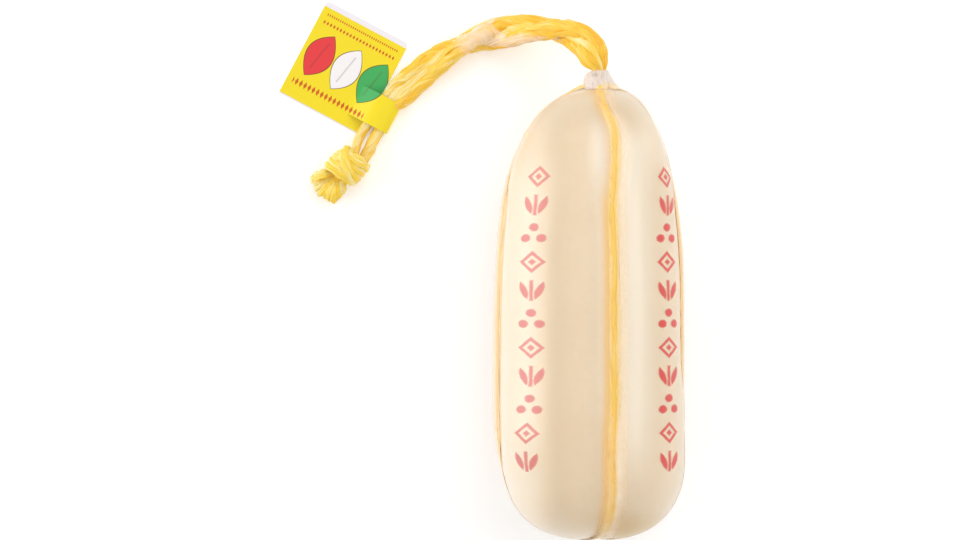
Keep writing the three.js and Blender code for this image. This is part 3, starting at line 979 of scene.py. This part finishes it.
# Painted yellow bounce light from the twine, and shade beside it.
CURD_TWINE_BOUNCE = tint(239, 197, 112)
# Painted shade for a band on the left lobe and across the shoulders.
CURD_PAINTED_SHADE = tint(207, 185, 152)
# Painted shade over the foot.
CURD_FOOT_SHADE = tint(203, 168, 104)


def curd_finish():
    """Smooth young curd under tight film: faint clouding, a satin sheen, and painted light and
    shade over its colour.
    """
    finish = Finish("curd", Coat_Roughness=0.26, Sheen_Weight=0.2, Sheen_Roughness=0.4,
                    Subsurface_Weight=0.35, Subsurface_Radius=(0.010, 0.006, 0.003))
    place = finish.object_place()
    x, y, _ = finish.split(place)
    cloud = finish.noise(place, 22.0, 4.0)
    fine = finish.noise(place, 240.0)
    # Where the twine's painted bounce light and shade lie.
    near = finish.attribute("near_twine")
    colour = finish.mix((cloud * 0.75 + fine * 0.25).between(0.35, 0.7), CURD, CURD_SHADE)
    # Above 0 painted light, below 0 painted shade.
    pale = finish.attribute("pale")
    # Where painted shade falls over the foot.
    foot = y.between(-0.092, -0.108) * x.between(-0.006, 0.012)
    # Laid over the curd: painted highlight and sheen, painted shade, twine bounce light, painted
    # shade over the foot and a band of painted shade across the shoulders.
    colour = finish.lay_over(
        colour, (pale, CURD_PAINTED_LIGHT), (pale * -1.0, CURD_PAINTED_SHADE), (near, CURD_TWINE_BOUNCE),
        (foot * 0.8, CURD_FOOT_SHADE), (y.between(0.076, 0.094) * 0.4, CURD_PAINTED_SHADE))
    finish.shows(Base_Color=colour, Roughness=fine * 0.16 + 0.42, Coat_Weight=1.0 - near * 0.8)
    finish.bump(cloud * 0.7 + fine * 0.3, 0.18, 0.0008)
    return finish.material


cheese.data.materials.clear()
cheese.data.materials.append(curd_finish())
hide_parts("cheese")
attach(cheese, "root")

# ---- Binding twine -------------------------------------------------------------------
# Each loop is a hank of raffia drawn tight down two sides of the cheese and under its
# foot: a bright ribbon on the outside, paler ones beside it and more underneath.

TWINE_LAY = [
    # sideways place, outward place, half width, half depth, tone
    (0.4, 1.45, 1.45, 0.85, 0.3), (-1.4, 1.3, 1.3, 0.8, 0.95), (-1.95, 0.75, 1.4, 1.15, 0.95),
    (1.95, 0.75, 1.4, 1.1, 0.85), (-0.2, 1.1, 1.3, 0.8, 0.65), (-1.0, -1.2, 1.6, 1.3, 0.5),
    (1.1, -1.2, 1.6, 1.3, 0.4),
]


def twine_piece(name, loop, node, seed, paler):
    hank = Raffia(seed)
    reach, side, up = course(loop, outward_from_cheese(loop))
    fullness = 1 - 0.45 * (1 - ease(2, 14, np.minimum(reach, reach[-1] - reach)))
    roll = 0.16 * hank.sway(reach, 90)
    for sideways, outward, half_width, half_depth, tone in TWINE_LAY:
        across = sideways * np.cos(roll) - outward * np.sin(roll) + 0.22 * hank.sway(reach, 37)
        above = sideways * np.sin(roll) + outward * np.cos(roll) + 0.12 * hank.sway(reach, 29)
        line = loop + (across * fullness)[:, None] * side + (above * fullness)[:, None] * up
        wide = half_width * fullness * (1 + 0.14 * hank.sway(reach, 21))
        deep = half_depth * fullness * (1 + 0.1 * hank.sway(reach, 33))
        turn = roll + 0.25 * hank.sway(reach, 26)
        hank.ribbon(line, side, up, wide, deep, turn, tone + paler)
    piece = hank.make(name)
    piece.data.materials.append(TWINE_RAFFIA)
    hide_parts(node)
    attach(piece, "root")
    return piece


TWINE_RAFFIA = raffia_finish("binding_raffia", tint(250, 203, 60), tint(254, 212, 90),
                             tint(255, 218, 124), tint(255, 225, 160))
twine_piece("front_back_raffia", front_back_loop, "twine_front_back", 11, 0.0)
twine_piece("left_right_raffia", left_right_loop, "twine_left_right", 12, 0.5)

# ---- Film skin -----------------------------------------------------------------------
# Thin clear film, drawn tight over curd and twine. It is clear where it touches, and
# milky where it bridges the valleys. A plain red pattern is printed along each lobe.

FILM_STANDOFF = 0.1


def film_shape(share, turn):
    """The film: tight on the lobes, straight from lobe to twine across each valley."""
    radius, y, out, forward = on_outline(np.minimum(share / 0.985, 1))
    depth = np.zeros_like(radius)
    bridge = np.zeros_like(radius)
    contact = np.zeros_like(radius)
    for run in (BACK, LEFT, FRONT, RIGHT):
        near = nearness(radius, turn, run, y)
        sink = sink_along(run, y) - 0.12
        depth = np.where(near > bridge, near * sink, depth)
        bridge = np.maximum(bridge, near)
        away = radius * np.sin(np.minimum(np.abs(turn_from(turn, run, y)), math.pi / 2))
        touching = 0.5 if run in (LEFT, RIGHT) else ease(-104, -94, y) * ease(102, 98, y)
        touching = touching * (1 - 0.7 * ease(84, 89, y) * (run == FRONT))
        tight = 1.5 - (0.8 * ease(44, 56, -y) if run == FRONT else 0)
        contact = np.maximum(contact, touching * np.exp(-((away / tight) ** 2)))
    # Beside the side runs the film is made milkier: painted light over the shaded crevice there.
    for run in (LEFT, RIGHT):
        beside = radius * np.abs(turn_from(turn, run, y))
        contact = contact - 1.6 * np.exp(-(((beside - 4) / 2.0) ** 2))
    near_neck = ease(70, 102, y)
    pleat = np.abs(np.sin(9.5 * turn + 0.6 * np.sin(3 * turn))) ** 0.5
    stand = FILM_STANDOFF + 0.1 * near_neck * pleat
    on_neck_face = np.clip((share - 0.985) / 0.015, 0, 1)
    offset = stand - depth
    radius = (radius + (offset + swell(y, turn)) * out) * (1 - on_neck_face)
    places = round_axis(radius, y + offset * forward, turn)
    places[:, 1] = np.minimum(places[:, 1], NECK_Y + 0.2)
    places[:, 2] = np.maximum(places[:, 2], 0.03)
    right = radius * turn_from(turn, FRONT, y)
    # Right of the front run the film is made milkier: painted light over the shaded flank of the
    # groove.
    veil = ease(0.4, 2.4, right) * ease(10, 3, right) * ease(96, 82, y) * ease(102, 90, -y)
    # The twine's painted bounce light also tints the film.
    painted_bounce = twine_bounce_light(radius, turn, y)
    return places, {"bridge": bridge, "contact": contact, "near_twine": painted_bounce, "veil": veil}


film = lobed_piece("film_skin", 320, 240, film_shape)

MILKY = tint(250, 228, 198)
# Painted yellow bounce light from the twine, in the film.
MILKY_TWINE_BOUNCE = tint(250, 212, 140)
# Milky film colour used as painted light over the groove's shade.
MILKY_PAINTED_LIGHT = tint(252, 238, 214)
PRINT_STRONG = tint(224, 62, 62)
# The left column's print is paler: a painted sheen washed over it.
PRINT_UNDER_PAINTED_SHEEN = tint(218, 108, 110)
PRINT_TOP, PRINT_BOTTOM = 0.0665, -0.0795
PRINT_PITCH = 13.25


def film_finish():
    """Clear film with a column of printed lozenges, sprigs and dots down each lobe."""
    finish = Finish("printed_film", Roughness=0.22, Sheen_Weight=0.2, Sheen_Roughness=0.4)
    place = finish.object_place()
    x, y, z = finish.split(place)
    turn = x.maths("ARCTAN2", z - AXIS_HEIGHT * MILLIMETRE) * (180 / math.pi)
    middle_of_lobe = (turn.between(-76.0, -75.9) * (94.0 - y.between(-0.03, -0.08) * 6.0)
                      + turn.between(9.9, 10.0) * (90.0 + y.between(0.025, 0.06) * 8.0
                                                   + y.between(-0.03, -0.08) * 8.0)
                      + turn.between(97.0, 97.1) * 85.0 - 132.0)
    across = (turn - middle_of_lobe) * (math.pi / 180 * 45.0 / 1.55)
    down = (PRINT_TOP - y) * 1000.0
    cell = down.maths("FLOORED_MODULO", PRINT_PITCH) - PRINT_PITCH / 2
    number = (down / PRINT_PITCH).maths("FLOOR")
    kind = number.maths("FLOORED_MODULO", 3.0)
    wide, tall = abs(across), abs(cell)
    reach = wide / 5.0 + tall / 5.2
    rim = 0.85 - abs(reach - 0.8) * 4.6
    heart = 1.5 - reach * 5.0
    lozenge = rim.larger(heart)
    leaf_pair = 1.55 - cell * cell * 0.085 - abs(wide - 2.9 + cell * 0.34)
    stem = (0.75 - wide).smaller(4.8 - tall)
    sprig = leaf_pair.larger(stem)
    dots = None
    for side_place, row in ((0.0, -2.9), (-3.0, 2.2), (3.0, 2.2)):
        gap = ((across - side_place) ** 2.0 + (cell - row) ** 2.0) ** 0.5
        dots = 1.95 - gap if dots is None else dots.larger(1.95 - gap)
    first = 1.0 - abs(kind).between(0.4, 0.6)
    last = kind.between(1.4, 1.6)
    middle = 1.0 - first - last
    mark = first * lozenge + middle * sprig + last * dots
    within = (y.between(PRINT_BOTTOM - 0.0002, PRINT_BOTTOM + 0.0002)
              * y.between(PRINT_TOP + 0.0002, PRINT_TOP - 0.0002))
    worn = finish.noise(place, 420.0)
    ink = (mark + (worn - 0.5) * 0.6).between(-0.5, 0.5) * within
    # The right column's print is full red; the left is paler and thinner under painted sheen.
    clear_of_painted_sheen = turn.between(-10.0, 20.0)
    bridge = finish.attribute("bridge")
    contact = finish.attribute("contact")
    cloud = finish.noise(place, 95.0, 4.0)
    gathered = y.between(0.085, 0.1) * 0.5 + y.between(-0.045, -0.075) * 1.1 + 1.0
    loose = finish.noise(finish.join(x * 0.3, y), 210.0, 2.0).between(0.42, 0.62)
    contact = contact * (1.0 - loose * y.between(-0.046, -0.056) * 0.5)
    haze = bridge.between(0.16, 0.75) * (1.0 - contact * 0.7) * (cloud * 0.4 + 0.16) * gathered
    red = finish.mix(clear_of_painted_sheen, PRINT_UNDER_PAINTED_SHEEN, PRINT_STRONG)
    # Milky film, laid on as painted light over the groove's shade.
    veil = finish.attribute("veil") * (cloud * 0.1 + 0.06)
    colour = finish.lay_over(MILKY, (finish.attribute("near_twine"), MILKY_TWINE_BOUNCE),
                             (veil * 5.0, MILKY_PAINTED_LIGHT), (ink, red))
    alpha = (haze + veil).larger(0.05).larger(ink * (clear_of_painted_sheen * 0.14 + 0.72))
    finish.shows(Base_Color=colour, Alpha=alpha)
    finish.bump(cloud, 0.1, 0.0006)
    return finish.material


film.data.materials.append(film_finish())
film.visible_shadow = False
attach(film, "root")

# ---- Film neck -----------------------------------------------------------------------
# Above the cheese the film is gathered into tight pleats and heat-sealed to a soft
# milky lump, one side fuller than the other, which closes round the root of the rope.

def on_shoulder(y):
    """A row of the neck's profile that lies on the shoulders."""
    radius = float(crest_radius(y)) + 0.4
    return y, float(axis_x(y)) - radius, float(axis_x(y)) + radius, radius


NECK_PROFILE = [
    # y, then the left and the right edge, and the half depth
    *[on_shoulder(y) for y in (99.0, 99.8, 100.6, 101.4)], (102.3, -3.6, 15.4, 12.6),
    (103.6, -2.7, 13.9, 11.4), (105.2, -2.8, 12.6, 9.8), (107.2, -2.6, 11.3, 8.0),
    (108.8, -1.9, 10.4, 6.8), (110.0, -0.6, 9.7, 5.8), (110.8, 0.9, 9.2, 4.8),
    (111.2, 2.2, 8.8, 4.0), (111.2, 3.0, 8.4, 3.2), (110.6, 3.8, 7.8, 2.5),
    (109.2, 4.3, 7.2, 1.8), (107.6, 4.8, 6.8, 1.1),
]
NECK_SECTORS = 120

profile = smooth_line([(left, y, right) for y, left, right, _ in NECK_PROFILE], 90)
depth_line = smooth_line([(half, y, 0) for y, _, _, half in NECK_PROFILE], 90)
around = np.linspace(0, 2 * math.pi, NECK_SECTORS, endpoint=False)[None, :]
fold = np.abs(np.sin(6.5 * around + 0.8 * np.sin(2 * around + 1) )) ** 0.6
small_fold = np.abs(np.sin(14.5 * around + 1.1 * np.sin(3 * around)))
gather = ease(101.8, 104, profile[:, 1])[:, None]
creased = 1 - gather * (0.06 * (1 - fold) + 0.02 * (1 - small_fold))
centre_x = ((profile[:, 0] + profile[:, 2]) / 2)[:, None]
half_x = ((profile[:, 2] - profile[:, 0]) / 2)[:, None]
half_z = depth_line[:, 0][:, None]
lean = 0.12 * np.sin(profile[:, 1] * 1.1)[:, None]
neck_x = centre_x + half_x * creased * np.sin(around + lean)
neck_z = AXIS_HEIGHT + half_z * creased * np.cos(around + lean)
neck_y = np.broadcast_to(profile[:, 1][:, None], neck_x.shape) - 0.5 * gather * (1 - fold)
neck_builder = Raffia(seed=2)
neck_builder.add_rings(np.stack([neck_x, neck_y, neck_z], axis=-1), profile[:, 1], 0.5)
film_neck = neck_builder.make("gathered_neck")
give_point_values(film_neck, across=neck_x, along=neck_y, cover=ease(100.4, 103.4, neck_y))
neck_film = milky_film_finish("gathered_film", 0.8, tint(236, 219, 204), tint(229, 216, 208),
                              0.0001)
x, y, _ = neck_film.split(neck_film.object_place())
over_twine = y.between(0.1062, 0.1026) * x.between(0.003, 0.008)
# Painted shade where the gather opens beside the rope's root.
painted_opening_shade = (((x - 0.0027) * 0.7) ** 2.0 + (y - 0.1086) ** 2.0).between(0.000002, 0.0)
plain = Signal(neck_film, neck_film.surface.inputs["Base Color"].links[0].from_socket)
# Along the lump's base, painted tan shade tinted with the twine's yellow; over the twine, its
# yellow seen through the film.
neck_film.shows(Base_Color=neck_film.lay_over(
    plain, (y.between(0.1024, 0.1) * 0.7, tint(240, 208, 152)),
    (over_twine * 0.75, tint(248, 214, 150)), (painted_opening_shade * 0.45, tint(150, 142, 140))))
film_neck.data.materials.append(neck_film.material)
film_neck.visible_shadow = False
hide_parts("film_neck")
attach(film_neck, "root")

# ---- Table and light -----------------------------------------------------------------
# A plain white table inside a white tent: a large low panel on the left is the key, a
# weaker one stands on the right, and small panels behind and overhead fill the top.

bpy.ops.mesh.primitive_plane_add(size=8, location=(0, 0, 0))
table_top = bpy.context.object
table_top.name = "table_top"
table_finish = Finish("table_top", Roughness=0.7)
table_finish.surface.inputs["Base Color"].default_value = tint(252, 252, 251)
table_finish.surface.inputs["Emission Color"].default_value = tint(230, 240, 255)
table_finish.surface.inputs["Emission Strength"].default_value = 0.205
table_top.data.materials.append(table_finish.material)

LIGHTS = [
    # name, place, size, watts
    ("key", (-1.6, 0.3, 0.5), 1.4, 14.0),
    ("right", (1.2, 0.25, 1.25), 1.0, 5.2),
    ("behind", (0.45, 1.3, 1.36), 1.0, 6.0),
    ("overhead", (0.15, 0.2, 2.3), 1.6, 4.0),
]
for name, place, size, watts in LIGHTS:
    bpy.ops.object.light_add(type="AREA", location=place)
    lamp = bpy.context.object
    lamp.name = name
    lamp.data.shape = "SQUARE"
    lamp.data.size = size
    lamp.data.energy = watts
    x, y, z = place
    lamp.rotation_euler = (math.atan2(math.hypot(x, y), z), 0, math.atan2(x, -y))

world = bpy.data.worlds.new("studio")
bpy.context.scene.world = world
world.use_nodes = True
world.node_tree.nodes["Background"].inputs["Color"].default_value = (1.0, 0.99, 0.975, 1)
world.node_tree.nodes["Background"].inputs["Strength"].default_value = 0.62
bpy.context.scene.view_settings.view_transform = "Standard"
